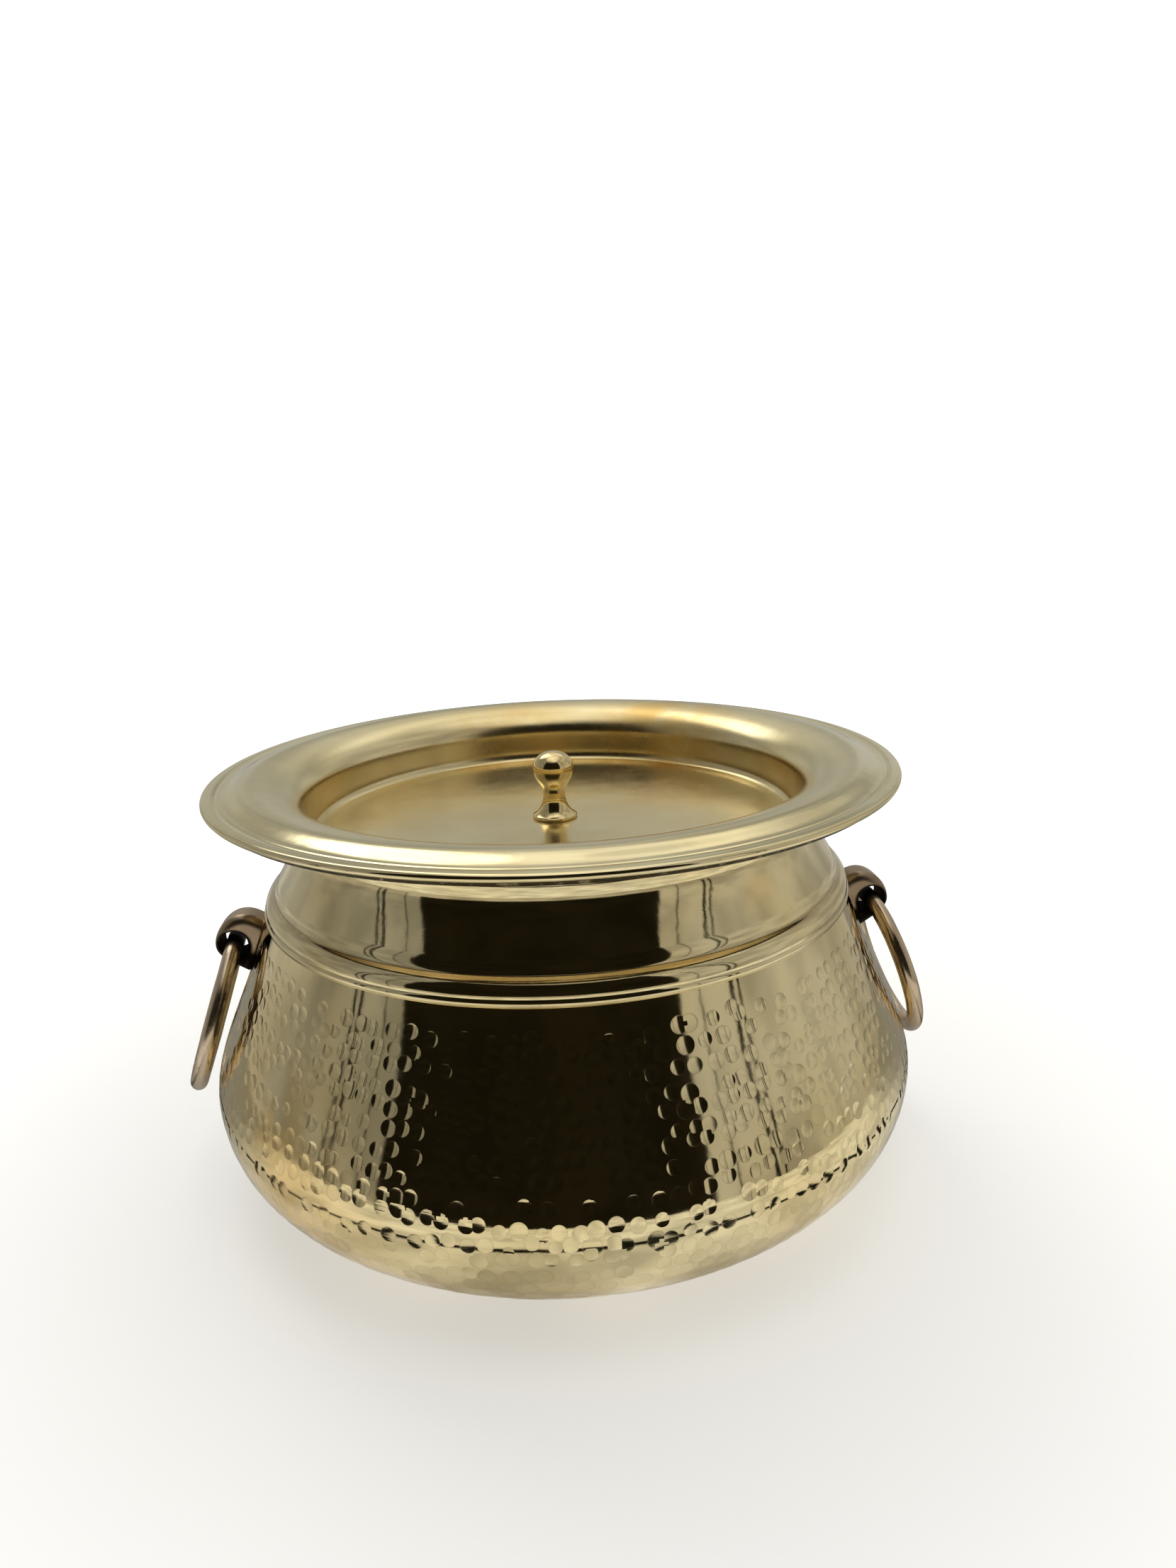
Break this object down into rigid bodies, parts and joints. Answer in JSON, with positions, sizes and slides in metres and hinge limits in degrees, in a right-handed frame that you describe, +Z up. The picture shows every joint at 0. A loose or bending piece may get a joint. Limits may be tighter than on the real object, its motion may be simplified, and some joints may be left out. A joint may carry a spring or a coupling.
{
  "type": "lidded cooking pot",
  "caption": "Round hammered brass cooking pot with a narrowing neck, flared rim, dished lift-off lid with a small knob, and loose ring handles in cast lugs.",
  "frame": {"origin": "centre of the flat base, on the surface the pot stands on", "axes": "+Z up along the pot's axis; the two ring handles lie on the X axis; lid and pot are turned about Z"},
  "size_m": [0.2937, 0.2702, 0.1623],
  "materials": {
    "pot_brass": "polished and hammered",
    "lid_brass": "polished",
    "knob_brass": "polished",
    "cast_brass": "cast, dulled",
    "ring_brass": "polished rod, lightly tarnished",
    "fixing_brass": "satin"
  },
  "bodies": {
    "pot": {"pot_body": "pot_brass", "right_lug": "cast_brass", "left_lug": "cast_brass", "right_lug_washers": "fixing_brass", "left_lug_washers": "fixing_brass"},
    "lid": {"lid": "lid_brass", "lid_knob": "knob_brass", "knob_washer": "fixing_brass", "knob_screw": "fixing_brass"},
    "right_ring": {"right_ring": "ring_brass"},
    "left_ring": {"left_ring": "ring_brass"}
  },
  "joints": [
    {"name": "lid_lift", "type": "slide", "parent": "pot", "child": "lid", "axis": [0, 0, 1], "range_m": [0, 0.25]},
    {"name": "right_ring_swing", "type": "hinge", "parent": "pot", "child": "right_ring", "pos_m": [0.1259, 0, 0.0947], "axis": [0, -1, 0], "range_deg": [0, 155]},
    {"name": "left_ring_swing", "type": "hinge", "parent": "pot", "child": "left_ring", "pos_m": [-0.1259, 0, 0.0947], "axis": [-0.0828, 0.9966, 0], "range_deg": [0, 152]}
  ]
}
